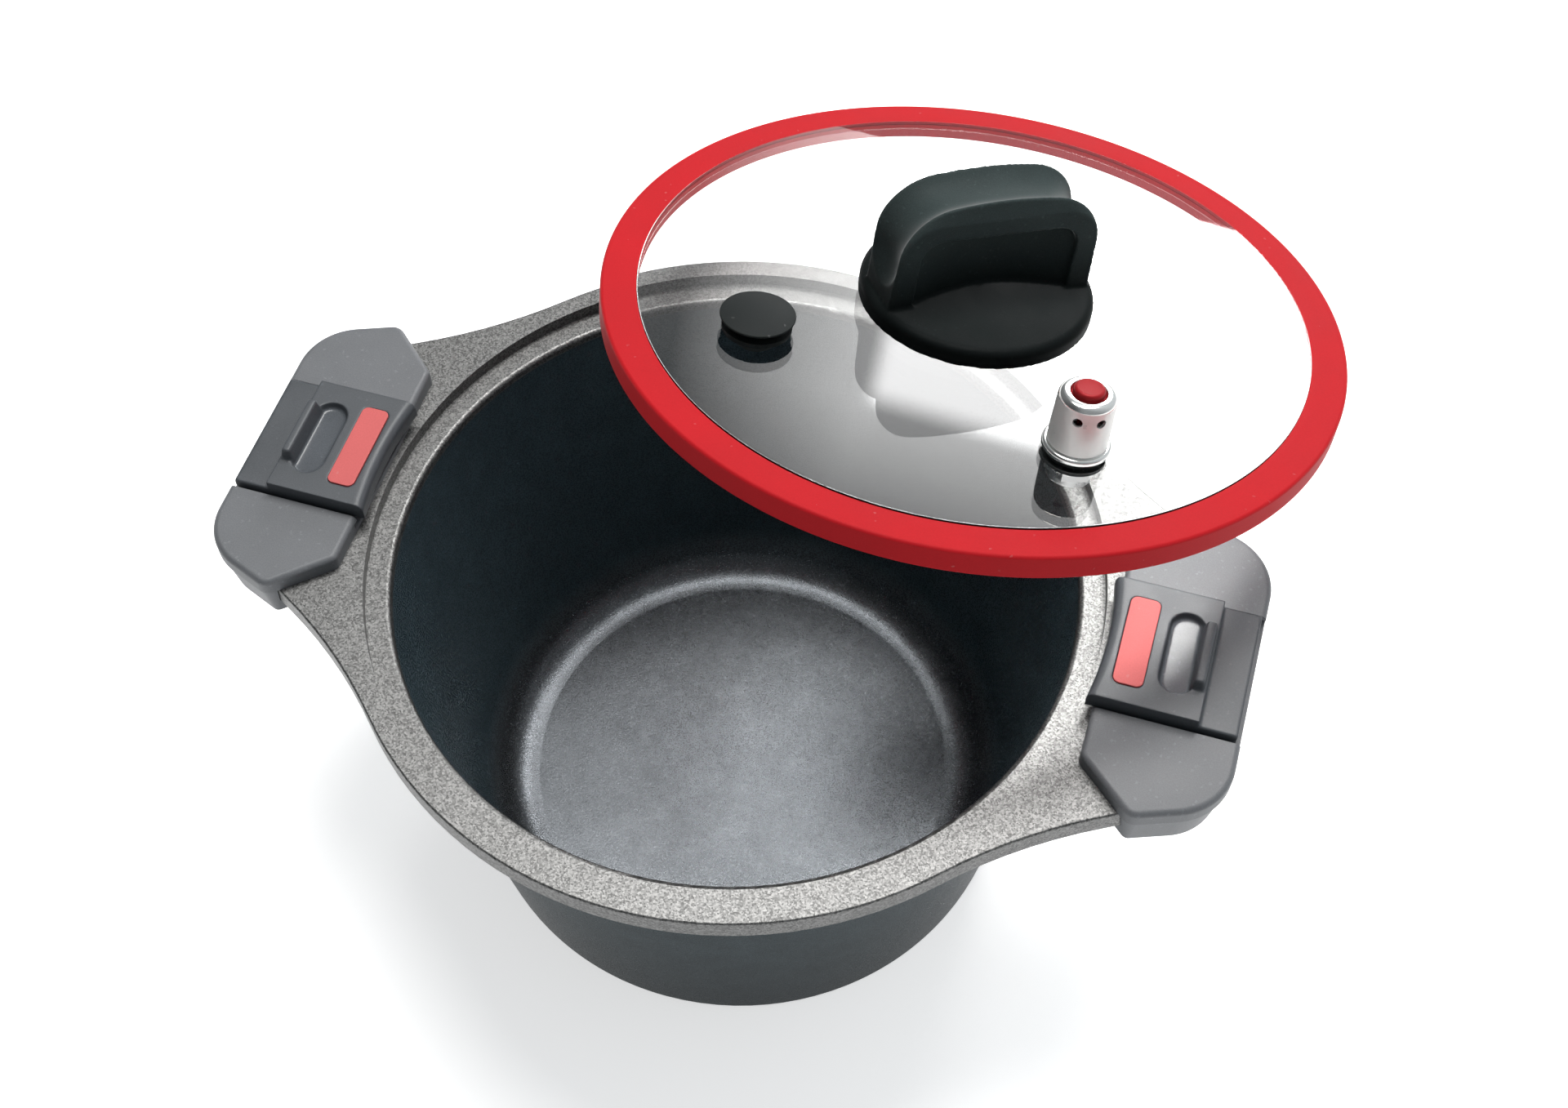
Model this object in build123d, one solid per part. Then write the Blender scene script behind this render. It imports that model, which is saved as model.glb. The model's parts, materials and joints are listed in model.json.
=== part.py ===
from build123d import *
import math
import os

os.makedirs("parts", exist_ok=True)

# Clearances between pieces
slide_gap = 0.25
push_fit_gap = 0.05
loose_gap = 0.3

# Pot: cast bowl with a stepped rim and two ears
rim_height = 155.0
opening_radius = 120.0
seat_width = 8.5
seat_depth = 5.1
rim_width = 7.1
rim_thickness = 8.4
base_radius = 104.0
wall_thickness = 4.0
floor_thickness = 7.0
base_round = 9.0
floor_round = 20.0
rim_edge_round = 0.8
ear_root_angle = 44.0
ear_shoulder_out = 7.6
ear_shoulder_half = 59.3
ear_end_out = 31.0
ear_end_half = 46.0

# Handle shells
handle_overlap = 5.1
handle_depth = 48.5
handle_inner_half = 43.0
handle_tip_in = 19.5
handle_tip_half = 60.5
handle_outer_half = 49.3
handle_outer_round = 22.0
handle_tip_round = 5.0
handle_inner_round = 3.0
upper_height = 6.5
upper_round = 2.0
lower_height = 15.0
lower_draft = 8.0
lower_wall = 3.0
seam_step = 0.5
rib_half_pitch = 15.0
rib_thickness = 2.4

# Handle screws
screw_out = 20.0
screw_half = 39.0
screw_radius = 2.0
screw_head_radius = 4.0
screw_head_height = 2.6
screw_head_depth = 0.6
screw_bite = 4.6
boss_radius = 6.5
screw_slot = 1.0

# Latch slide
channel_floor = 2.0
channel_gap = 1.2
slide_half = 23.9
rail_width = 3.0
rail_height = 1.8
nose_clearance = 2.5
nose_top = 12.0
nose_depth = 34.4
nose_round = 3.0
plate_top = 8.6
plate_inset = 1.6
rail_setback = 9.0
latch_travel = 7.0
latch_gap = 0.45
slide_edge_round = 0.6

# Latch trim: coloured inlay, thumb recess, thumb ridge and stop pin
inlay_length = 34.4
inlay_width = 10.0
inlay_setback = 4.4
inlay_round = 2.4
inlay_depth = 1.5
inlay_proud = 0.35
recess_length = 31.6
recess_width = 12.2
recess_setback = 18.4
recess_depth = 2.6
recess_draft = 16.0
recess_round = 1.2
ridge_length = 25.0
ridge_width = 4.4
ridge_height = 4.6
ridge_draft = 8.0
ridge_round = 0.8
pin_radius = 2.0
pin_rise = 2.6
pin_setback = 18.8

# Lid: flat-rimmed glass with a raised middle, held in a grooved ring
ring_clearance = 1.0
ring_height = 9.0
ring_wall = 3.5
ring_lip = 8.9
ring_top_lip = 2.5
ring_round = 1.2
glass_thickness = 4.0
glass_rise = 3.0
glass_rim = 12.0
glass_slope = 16.0
glass_bend = 25.0
seat_gap = 0.15

# Knob
knob_angle = 14.8
knob_radius = 40.0
knob_base_height = 6.6
knob_base_round = 2.8
knob_dome = 2.4
knob_gasket_radius = 35.0
gasket_thickness = 1.2
arch_half = 36.6
arch_lean = 1.5
arch_height = 47.4
arch_bow = 4.6
arch_corner = 20.0
lip_depth = 21.0
foot_depth = 20.0
face_depth = 24.0
face_half = 35.6
face_lean = 0.8
face_drop = 6.6
face_bow = 0.6
face_corner = 13.0
grip_half = 28.0
grip_frame = 6.2
grip_corner = 8.0
grip_end_depth = 3.2
web_thickness = 6.6
groove_radius = 15.5
groove_depth = 3.7
groove_drop = 22.9
knob_hollow_inner = 13.0
knob_hollow_outer = 30.0
knob_hollow_depth = 3.6
knob_screw_radius = 2.5
knob_screw_bite = 11.0
knob_screw_head_radius = 5.0
knob_screw_head_height = 3.0
knob_hole_radius = 5.0
washer_radius = 11.0
washer_thickness = 1.2
washer_gasket_radius = 12.0

# Steam valve
valve_inset = 40.0
valve_angle = -74.5
valve_flange_radius = 11.1
valve_flange_height = 2.2
valve_gasket_radius = 10.3
valve_stem_radius = 5.4
valve_hole_radius = 6.0
valve_stem_length = 6.6
valve_spigot_height = 4.0
cap_radius = 9.7
cap_top_radius = 9.3
cap_height = 19.3
cap_wall = 1.0
cap_top = 1.5
cap_round = 2.2
vent_radius = 1.6
vent_height = 13.5
vent_angles = (-116.0, -69.0)
button_radius = 5.0
button_gap = 0.45
button_proud = 1.8
button_travel = 1.5
button_flange = 1.2
button_flange_height = 2.0
button_round = 1.3
button_stem_radius = 1.5
ball_radius = 3.0
ball_gap = 0.2
orifice_radius = 2.0
spring_radius = 4.0
spring_wire = 0.8
spring_turns = 5.0
nut_radius = 8.6
nut_height = 4.6
nut_floor = 1.6
nut_inlet_radius = 1.6

# Safety plug
plug_inset = 41.8
plug_angle = 194.3
plug_cap_radius = 13.8
plug_disc_radius = 11.8
plug_neck_radius = 8.8
plug_stem_radius = 6.8
plug_hole_radius = 7.0
plug_bulb_radius = 8.6
plug_disc_height = 1.6
plug_neck_height = 1.8
plug_cap_height = 3.6
plug_bulb_height = 3.2

# Where the lid is held at rest: lifted off, tipped back and set over the far side of the pot
lid_shift_x = 58.6
lid_shift_y = 90.3
lid_lift = 54.9
lid_tilt = 14.4
lid_tilt_toward = 83.3
lid_turn = 20.3

# Heights and radii that follow from the sizes above
seat_height = rim_height - seat_depth
face_height = arch_height - face_drop
grip_height = face_height - grip_frame
groove_foot = arch_height - groove_drop
valve_place = opening_radius - valve_inset
plug_place = opening_radius - plug_inset
step_radius = opening_radius + seat_width
rim_radius = step_radius + rim_width
rim_bottom = rim_height - rim_thickness
handle_inner = rim_radius - handle_overlap
handle_outer = handle_inner + handle_depth
screw_x = handle_inner + screw_out
lower_bottom = rim_height - lower_height
screw_seat = lower_bottom + screw_head_depth + screw_head_height
ring_radius = step_radius - ring_clearance
ring_inner = ring_radius - ring_wall - ring_lip
glass_radius = ring_radius - ring_wall - push_fit_gap
rim_glass_top = -ring_top_lip
glass_top = rim_glass_top + glass_rise
glass_bottom = glass_top - glass_thickness
seated_ring_top = seat_height + seat_gap + ring_height
nose_bottom = seated_ring_top + latch_gap
nose_radius = ring_radius + nose_clearance
rail_bottom = rim_height + channel_floor + slide_gap
plate_outer = handle_outer - plate_inset
knob_bottom = glass_top + gasket_thickness
knob_base_top = knob_bottom + knob_base_height
flange_bottom = glass_top + gasket_thickness
flange_top = flange_bottom + valve_flange_height
cap_top_height = flange_top + cap_height
stem_bottom = glass_bottom - valve_stem_length
ball_height = stem_bottom + ball_radius + ball_gap
spring_bottom = flange_top
button_flange_top = cap_top_height - cap_top - push_fit_gap
button_flange_bottom = button_flange_top - button_flange_height
under_gasket_bottom = glass_bottom - gasket_thickness


def rounded(sketch, corners):
    """Round the corners of a flat outline: each entry is an (x, y) corner and its radius."""
    for (x, y), radius in corners:
        corner = sketch.vertices().sort_by_distance((x, y, 0))[0]
        sketch = fillet(corner, radius)
    return sketch


def turned(points, corners=()):
    """Solid of revolution about Z from (radius, height) points."""
    outline = make_face(Polyline(*points, close=True))
    return revolve(Plane.XZ * rounded(outline, corners), Axis.Z)


def post(radius, bottom, top, x=0.0, y=0.0):
    """Upright cylinder between two heights."""
    return Pos(x, y, bottom) * Cylinder(radius, top - bottom, align=(Align.CENTER, Align.CENTER, Align.MIN))


def block(x_low, x_high, half_width, bottom, top):
    """Upright box, symmetric about the XZ plane."""
    size = Box(x_high - x_low, 2 * half_width, top - bottom, align=(Align.MIN, Align.CENTER, Align.MIN))
    return Pos(x_low, 0, bottom) * size


def prism(outline, bottom, top, taper=0.0):
    """Flat outline raised from one height to another."""
    return extrude(Pos(0, 0, bottom) * outline, top - bottom, taper=taper)


def ear_outline(gap=0.0):
    """Plan of one ear, from the pot's axis to the end that the handle covers."""
    turn = math.radians(ear_root_angle)
    root = Vector(rim_radius * math.cos(turn), rim_radius * math.sin(turn))
    shoulder = Vector(rim_radius + ear_shoulder_out, ear_shoulder_half)
    end_x = rim_radius + ear_end_out
    edge = [
        TangentArc(root, shoulder, tangent=(math.sin(turn), -math.cos(turn))),
        Polyline(shoulder, (end_x, ear_end_half), (end_x, 0), (0, 0), root),
    ]
    half = make_face(edge)
    outline = half + mirror(half, about=Plane.XZ)
    return offset(outline, gap) if gap else outline


def pot_body():
    """Cast bowl: tapered wall, rounded floor, stepped seat in a flat rim, and an ear each side."""
    bowl = turned(
        [
            (0, 0),
            (base_radius, 0),
            (opening_radius + wall_thickness, rim_bottom),
            (rim_radius, rim_bottom),
            (rim_radius, rim_height),
            (step_radius, rim_height),
            (step_radius, seat_height),
            (opening_radius, seat_height),
            (base_radius - wall_thickness, floor_thickness),
            (0, floor_thickness),
        ],
        [
            ((base_radius, 0), base_round),
            ((opening_radius + wall_thickness, rim_bottom), 3 * rim_edge_round),
            ((opening_radius, seat_height), 2 * rim_edge_round),
            ((base_radius - wall_thickness, floor_thickness), floor_round),
        ],
    )
    ear = prism(ear_outline(), rim_bottom, rim_height)
    ear -= post((step_radius + rim_radius) / 2, 0, 2 * rim_height)
    for side in (-1, 1):
        ear -= post(screw_radius + loose_gap, 0, 2 * rim_height, screw_x, side * screw_half)
    body = bowl + ear + mirror(ear, about=Plane.YZ)
    outer_edges = [
        edge
        for edge in body.edges()
        if abs(edge.center().Z - rim_height) < 1e-3 and edge.length > 4 * math.pi * screw_radius
        and math.hypot(edge.position_at(0).X, edge.position_at(0).Y) > step_radius + rim_width / 2
    ]
    return fillet(outer_edges, rim_edge_round)


def handle_outline():
    """Plan of a handle: straight towards the pot, pointed at both ends, rounded outside."""
    tip_x = handle_inner + handle_tip_in
    half = [
        (handle_inner, handle_inner_half),
        (tip_x, handle_tip_half),
        (handle_outer, handle_outer_half),
    ]
    other = [(x, -y) for x, y in reversed(half)]
    outline = make_face(Polyline(*half, *other, close=True))
    radii = (handle_inner_round, handle_tip_round, handle_outer_round)
    corners = list(zip(half, radii)) + list(zip(other, reversed(radii)))
    return rounded(outline, corners)


def handle_upper():
    """Top shell: rests on the ear and holds the latch slide in an undercut channel."""
    shell = prism(handle_outline(), rim_height, rim_height + upper_height)
    shell = fillet(shell.faces().sort_by(Axis.Z)[-1].edges(), upper_round)
    floor = rim_height + channel_floor
    start, end = handle_inner - 5, handle_outer + 5
    shell -= block(start, end, slide_half + channel_gap, floor, rim_height + 2 * upper_height)
    rail_top = rail_bottom + rail_height + slide_gap
    shell -= block(start, end, slide_half + rail_width + slide_gap, floor, rail_top)
    shell -= post(pin_radius + push_fit_gap, rim_height - 1, rim_height + upper_height, pin_x())
    for side in (-1, 1):
        hole_top = rim_height + screw_bite + loose_gap
        shell -= post(screw_radius + push_fit_gap, rim_height - 1, hole_top, screw_x, side * screw_half)
    return shell


def handle_lower():
    """Bottom shell: drafted cup round the ear's end, with screw bosses and two ribs under the ear."""
    outline = offset(handle_outline(), -seam_step)
    shell = extrude(Pos(0, 0, rim_height) * outline, -lower_height, taper=lower_draft)
    inside = offset(outline, -lower_wall - math.tan(math.radians(lower_draft)) * lower_height / 2)
    cavity = prism(inside, lower_bottom + lower_wall, rim_height + 1)
    for side in (-1, 1):
        cavity -= post(boss_radius, lower_bottom, rim_bottom, screw_x, side * screw_half)
        rib = block(handle_inner, handle_outer, rib_thickness / 2, lower_bottom, rim_bottom)
        cavity -= Pos(0, side * rib_half_pitch, 0) * rib
    shell -= cavity
    shell -= prism(ear_outline(loose_gap), rim_bottom, rim_height + 1)
    shell -= post(rim_radius + loose_gap, rim_bottom, rim_height + 1)
    for side in (-1, 1):
        place = (screw_x, side * screw_half)
        shell -= post(screw_radius + loose_gap, lower_bottom - 1, rim_height, *place)
        shell -= post(screw_head_radius + loose_gap, lower_bottom - 1, screw_seat, *place)
    return shell


def handle_screws():
    """Two cross-head screws that clamp the shells to the ear from below."""
    screws = []
    for side in (-1, 1):
        place = (screw_x, side * screw_half)
        head_bottom = screw_seat - screw_head_height
        screw = post(screw_head_radius, head_bottom, screw_seat, *place)
        screw += post(screw_radius, screw_seat, rim_height + screw_bite, *place)
        for turn in (0, 90):
            slot = Box(1.3 * screw_head_radius, screw_slot, screw_head_height)
            screw -= Pos(place[0], place[1], head_bottom) * Rot(0, 0, turn) * slot
        screws.append(screw)
    return Compound(screws)


def pin_x():
    """Distance of the stop pin from the pot's axis."""
    return nose_radius + pin_setback


def recess_tool():
    """Thumb recess: a drafted oval pocket with a rounded floor."""
    across = nose_radius + recess_setback + recess_width / 2
    oval = SlotOverall(recess_length, recess_width, rotation=90)
    pocket = extrude(Pos(across, 0, rim_height + nose_top) * oval, -recess_depth, taper=recess_draft)
    return fillet(pocket.faces().sort_by(Axis.Z)[0].edges(), recess_round)


def latch_slide():
    """Latch: nose block hollowed to the ring, lower outer plate, and rails in the handle's channel."""
    nose = block(opening_radius, nose_radius + nose_depth, slide_half, nose_bottom, rim_height + nose_top)
    nose -= post(nose_radius, nose_bottom - 1, rim_height + 2 * nose_top)
    front = nose.faces().sort_by(Axis.Z)[-1].edges().filter_by(GeomType.CIRCLE)
    nose = fillet(front, nose_round)
    rail_start = nose_radius + rail_setback
    plate = block(rail_start, plate_outer, slide_half, rail_bottom, rim_height + plate_top)
    plate_edges = plate.faces().sort_by(Axis.Z)[-1].edges()
    plate = fillet(plate_edges, slide_edge_round)
    rails = block(rail_start, plate_outer, slide_half + rail_width, rail_bottom, rail_bottom + rail_height)
    slide = nose + plate + rails
    slide -= recess_tool()
    slide += thumb_ridge()
    slide -= inlay_block(inlay_depth + push_fit_gap, push_fit_gap, inlay_depth)
    slot_low = pin_x() - pin_radius - loose_gap
    slot_high = pin_x() + pin_radius + latch_travel + loose_gap
    slot_top = rim_height + channel_floor + pin_rise + loose_gap
    slide -= block(slot_low, slot_high, pin_radius + loose_gap, rail_bottom - 1, slot_top)
    return slide


def thumb_ridge():
    """Drafted upright ridge behind the thumb recess."""
    lean = math.tan(math.radians(ridge_draft)) * ridge_height
    across = nose_radius + nose_depth - ridge_width / 2 - lean
    foot = rim_height + nose_top - ridge_height
    plan = Pos(across, 0, foot) * Rectangle(ridge_width + 2 * lean, ridge_length + 2 * lean)
    ridge = extrude(plan, 2 * ridge_height, taper=ridge_draft)
    upper = [edge for edge in ridge.edges() if edge.center().Z > foot + ridge_height / 2]
    return fillet(upper, ridge_round)


def inlay_block(depth, gap, below):
    """Rounded bar sunk into the top of the nose, grown all round by a gap."""
    across = nose_radius + inlay_setback + inlay_width / 2
    bar = RectangleRounded(inlay_width + 2 * gap, inlay_length + 2 * gap, inlay_round + gap)
    low = rim_height + nose_top - below
    return prism(Pos(across, 0) * bar, low, low + depth)


def latch_inlay():
    """Coloured bar in the latch, a little proud of it."""
    bar = inlay_block(inlay_depth + inlay_proud, 0.0, inlay_depth)
    return fillet(bar.faces().sort_by(Axis.Z)[-1].edges(), inlay_proud * 0.8)


def latch_stop_pin():
    """Pin that stands on the ear, through the top shell's floor, and ends the slide's travel."""
    return post(pin_radius, rim_height, rim_height + channel_floor + pin_rise, pin_x())


def lid_ring():
    """Moulded ring with a groove for the glass, open to the inside."""
    groove = ring_radius - ring_wall
    low_lip = rim_glass_top - glass_thickness
    return turned(
        [
            (ring_radius, 0),
            (ring_radius, -ring_height),
            (ring_inner, -ring_height),
            (ring_inner, low_lip),
            (groove, low_lip),
            (groove, rim_glass_top),
            (ring_inner, rim_glass_top),
            (ring_inner, 0),
        ],
        [
            ((ring_radius, 0), ring_round),
            ((ring_radius, -ring_height), ring_round),
            ((ring_inner, -ring_height), ring_round / 2),
            ((ring_inner, 0), ring_round / 2),
        ],
    )


def place_on_lid(distance, angle):
    """Point on the lid at a distance and a bearing from its centre."""
    return Pos(distance * math.cos(math.radians(angle)), distance * math.sin(math.radians(angle)), 0)


def lid_glass():
    """Tempered pane: flat rim in the ring, raised flat middle, holes for knob, valve and plug."""
    bend_out = glass_radius - glass_rim
    bend_in = bend_out - glass_slope
    low = rim_glass_top - glass_thickness
    pane = turned(
        [
            (0, glass_top),
            (bend_in, glass_top),
            (bend_out, rim_glass_top),
            (glass_radius, rim_glass_top),
            (glass_radius, low),
            (bend_out, low),
            (bend_in, glass_bottom),
            (0, glass_bottom),
        ],
        [
            ((bend_in, glass_top), glass_bend),
            ((bend_out, rim_glass_top), glass_bend),
            ((bend_out, low), glass_bend),
            ((bend_in, glass_bottom), glass_bend),
        ],
    )
    reach = 3 * glass_thickness
    pane -= post(knob_hole_radius, -reach, reach)
    pane -= place_on_lid(valve_place, valve_angle) * post(valve_hole_radius, -reach, reach)
    pane -= place_on_lid(plug_place, plug_angle) * post(plug_hole_radius, -reach, reach)
    return pane


def arch_outline(bottom, half, lean, height, bow, corner):
    """Side view of an arch above a height: leaning sides, rounded corners, bowed crown."""
    crown_half = half - lean
    shoulder = height - bow
    foot_half = half - lean * (bottom - knob_base_top) / (shoulder - knob_base_top)
    left, right = (-crown_half, shoulder), (crown_half, shoulder)
    edges = [
        ThreePointArc(left, (0, height), right),
        Polyline(right, (foot_half, bottom), (-foot_half, bottom), left),
    ]
    return rounded(make_face(edges), [(left, corner), (right, corner)])


def lip_outline(bottom):
    """Arch at its two lips, the edges of the groove."""
    return arch_outline(bottom, arch_half, arch_lean, arch_height, arch_bow, arch_corner)


def face_outline(bottom):
    """Arch at its front and back faces, inside the bevel that runs round them."""
    return arch_outline(bottom, face_half, face_lean, face_height, face_bow, face_corner)


def arch_blank():
    """Arch before its groove and hollows: bevelled round both faces, and narrower at the foot."""
    bottom = knob_base_top - knob_base_round
    lip = Plane.XZ * lip_outline(bottom)
    blank = extrude(lip, lip_depth / 2, both=True)
    face = Plane.XZ * face_outline(bottom)
    front = loft([Pos(0, -lip_depth / 2, 0) * lip, Pos(0, -face_depth / 2, 0) * face])
    blank += front
    blank += mirror(front, about=Plane.XZ)
    side = [(foot_depth / 2, bottom), (face_depth / 2, face_height), (face_depth / 2, 2 * arch_height)]
    other = [(-y, z) for y, z in reversed(side)]
    flare = make_face(Polyline(*side, *other, close=True))
    return blank & extrude(Plane.YZ * flare, 2 * arch_half, both=True)


def grip_tool():
    """Finger hollow in one side of the arch, with a bowed back wall."""
    outline = make_face(
        Polyline(
            (-grip_half, knob_base_top),
            (-grip_half, grip_height),
            (grip_half, grip_height),
            (grip_half, knob_base_top),
            close=True,
        )
    )
    outline = rounded(outline, [((side * grip_half, grip_height), grip_corner) for side in (-1, 1)])
    hollow = extrude(Plane.XZ * outline, face_depth)
    bow = (face_depth - web_thickness) / 2 - grip_end_depth
    bow_radius = (grip_half**2 + bow**2) / (2 * bow)
    back = post(bow_radius, knob_base_top - 1, arch_height, 0, -web_thickness / 2 - bow_radius)
    return hollow & back


def groove_line():
    """Line of the groove's centre: the lips' outline grown outwards, down to the groove's foot."""
    stand_off = groove_radius - groove_depth
    crown_half = arch_half - arch_lean
    crown_radius = (crown_half**2 + arch_bow**2) / (2 * arch_bow) + stand_off
    grown_bow = crown_radius - math.sqrt(crown_radius**2 - (crown_half + stand_off) ** 2)
    height = arch_height + stand_off
    steepness = arch_lean / (arch_height - arch_bow - knob_base_top)
    lean = steepness * (height - grown_bow - knob_base_top)
    return arch_outline(groove_foot, arch_half + stand_off, lean, height, grown_bow, arch_corner + stand_off)


def groove_tool():
    """Round groove that follows the arch's outer face from foot to foot."""
    line = [edge for edge in groove_line().edges() if edge.center().Y > groove_foot + 1e-3]
    path = Plane.XZ * Wire(line)
    tube = sweep(Plane(path @ 0, z_dir=path % 0) * Circle(groove_radius), path)
    for end in (path @ 0, path @ 1):
        tube += Pos(end) * Sphere(groove_radius)
    return tube


def knob():
    """One moulding: round base with an arched grip, grooved outside and hollowed on both sides."""
    base = turned(
        [
            (0, knob_bottom),
            (knob_radius, knob_bottom),
            (knob_radius, knob_base_top),
            (0, knob_base_top + knob_dome),
        ],
        [((knob_radius, knob_base_top), knob_base_round)],
    )
    arch = arch_blank()
    grip = grip_tool()
    arch -= grip
    arch -= mirror(grip, about=Plane.XZ)
    arch -= groove_tool()
    body = base + arch
    hollow = post(knob_hollow_outer, knob_bottom - 1, knob_bottom + knob_hollow_depth)
    body -= hollow - post(knob_hollow_inner, knob_bottom - 2, knob_base_top)
    hole_top = knob_bottom + knob_screw_bite + loose_gap
    body -= post(knob_screw_radius + push_fit_gap, knob_bottom - 1, hole_top)
    return Rot(0, 0, knob_angle) * body


def disc_washer(radius, hole, bottom, top):
    """Flat ring between two heights."""
    return post(radius, bottom, top) - post(hole, bottom - 1, top + 1)


def knob_gasket():
    """Soft washer between the knob and the glass."""
    return disc_washer(knob_gasket_radius, knob_screw_radius + loose_gap, glass_top, knob_bottom)


def knob_under_gasket():
    """Soft washer under the glass."""
    hole = knob_screw_radius + loose_gap
    return disc_washer(washer_gasket_radius, hole, under_gasket_bottom, glass_bottom)


def knob_washer():
    """Steel washer under the soft one."""
    hole = knob_screw_radius + loose_gap
    return disc_washer(washer_radius, hole, under_gasket_bottom - washer_thickness, under_gasket_bottom)


def knob_screw():
    """Screw from under the lid up into the knob's boss."""
    seat = under_gasket_bottom - washer_thickness
    head = post(knob_screw_head_radius, seat - knob_screw_head_height, seat)
    head = fillet(head.faces().sort_by(Axis.Z)[0].edges(), knob_screw_head_height / 3)
    screw = head + post(knob_screw_radius, seat, knob_bottom + knob_screw_bite)
    for turn in (0, 90):
        slot = Box(1.2 * knob_screw_head_radius, screw_slot, knob_screw_head_height)
        screw -= Pos(0, 0, seat - knob_screw_head_height) * Rot(0, 0, turn) * slot
    return screw


def valve_body():
    """Turned body: flange on the glass, spigot inside the cap, stem with the ball's chamber."""
    spigot = cap_top_radius - cap_wall - loose_gap
    body = turned(
        [
            (orifice_radius, spring_bottom),
            (spigot - cap_wall, spring_bottom),
            (spigot - cap_wall, flange_top + valve_spigot_height),
            (spigot, flange_top + valve_spigot_height),
            (spigot, flange_top),
            (valve_flange_radius, flange_top),
            (valve_flange_radius, flange_bottom),
            (valve_stem_radius, flange_bottom),
            (valve_stem_radius, stem_bottom),
            (ball_radius + ball_gap, stem_bottom),
            (ball_radius + ball_gap, ball_height + ball_radius + ball_gap),
            (orifice_radius, ball_height + ball_radius + ball_gap),
        ],
        [
            ((valve_flange_radius, flange_top), valve_flange_height / 2.2),
            ((valve_flange_radius, flange_bottom), valve_flange_height / 4),
        ],
    )
    return body


def valve_gasket(radius, bottom, top):
    """Soft washer round the valve's stem."""
    return disc_washer(radius, valve_stem_radius + push_fit_gap, bottom, top)


def valve_nut():
    """Six-sided cap nut under the lid: its floor keeps the ball in, and its inlet lets steam through."""
    top = under_gasket_bottom
    floor_top = stem_bottom - push_fit_gap
    hexagon = RegularPolygon(nut_radius, 6)
    nut = prism(hexagon, top - nut_height, top)
    nut += post(nut_radius * math.cos(math.pi / 6), floor_top - nut_floor, top - nut_height)
    nut -= post(valve_stem_radius + push_fit_gap, floor_top, top + 1)
    nut -= post(nut_inlet_radius, floor_top - nut_floor - 1, floor_top + 1)
    return nut


def valve_cap():
    """Drawn metal cap: tapered wall, rounded top with the button's hole, and steam vents."""
    inner_top = cap_top_height - cap_top
    button_hole = button_radius + button_gap
    cap = turned(
        [
            (cap_radius, flange_top),
            (cap_top_radius, cap_top_height),
            (button_hole, cap_top_height),
            (button_hole, inner_top),
            (cap_top_radius - cap_wall, inner_top),
            (cap_radius - cap_wall, flange_top),
        ],
        [((cap_top_radius, cap_top_height), cap_round)],
    )
    for side in (0, 180):
        for angle in vent_angles:
            vent = Rot(0, 90, 0) * post(vent_radius, 0, 2 * cap_radius)
            cap -= Pos(0, 0, flange_top + vent_height) * Rot(0, 0, angle + side) * vent
    return cap


def valve_button():
    """Red press button: flange under the cap's top, long stem towards the ball."""
    stem_tip = ball_height + ball_radius + ball_gap + button_travel + loose_gap
    return turned(
        [
            (0, cap_top_height + button_proud),
            (button_radius, cap_top_height + button_proud),
            (button_radius, button_flange_top),
            (button_radius + button_flange, button_flange_top),
            (button_radius + button_flange, button_flange_bottom),
            (button_stem_radius, button_flange_bottom),
            (button_stem_radius, stem_tip),
            (0, stem_tip),
        ],
        [((button_radius, cap_top_height + button_proud), button_round)],
    )


def valve_spring():
    """Return spring of the button, standing on the body's shelf."""
    low = spring_bottom + spring_wire / 2 + push_fit_gap
    length = button_flange_bottom - push_fit_gap - spring_wire / 2 - low
    pitch = length / spring_turns
    print("valve_spring least gap between turns", round(pitch - spring_wire, 2))
    path = Helix(pitch=pitch, height=length, radius=spring_radius)
    section = Plane(path @ 0, z_dir=path % 0) * Circle(spring_wire / 2)
    return Pos(0, 0, low) * sweep(section, path=path, is_frenet=True)


def valve_ball():
    """Ball in the stem's chamber, above the nut's inlet."""
    return Pos(0, 0, ball_height) * Sphere(ball_radius)


def safety_plug():
    """Soft stopper: low dome on a waisted disc, stem through the glass, bulb below it."""
    disc_top = glass_top + plug_disc_height
    neck_top = disc_top + plug_neck_height
    cap_edge = neck_top + plug_cap_height / 2
    outline = make_face(
        [
            ThreePointArc(
                (0, neck_top + plug_cap_height),
                (plug_cap_radius / 2, neck_top + 0.88 * plug_cap_height),
                (plug_cap_radius, cap_edge),
            ),
            Polyline(
                (plug_cap_radius, cap_edge),
                (plug_neck_radius, neck_top),
                (plug_neck_radius, disc_top),
                (plug_disc_radius, disc_top),
                (plug_disc_radius, glass_top),
                (plug_stem_radius, glass_top),
                (plug_stem_radius, glass_bottom),
                (plug_bulb_radius, glass_bottom),
                (plug_stem_radius, glass_bottom - plug_bulb_height),
                (0, glass_bottom - plug_bulb_height),
                (0, neck_top + plug_cap_height),
            ),
        ]
    )
    outline = rounded(outline, [((plug_cap_radius, cap_edge), plug_cap_height / 8)])
    return revolve(Plane.XZ * outline, Axis.Z)


def lid_pose():
    """Location of the lid's own frame, whose origin is the centre of the ring's top face."""
    lean = Rot(0, 0, lid_tilt_toward) * Rot(0, lid_tilt, 0) * Rot(0, 0, lid_turn - lid_tilt_toward)
    return Pos(lid_shift_x, lid_shift_y, rim_height + lid_lift) * lean


def write(name, shape):
    """Write one piece to its own file."""
    export_step(shape, "parts/" + name + ".step")


write("pot_body", pot_body())

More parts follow.
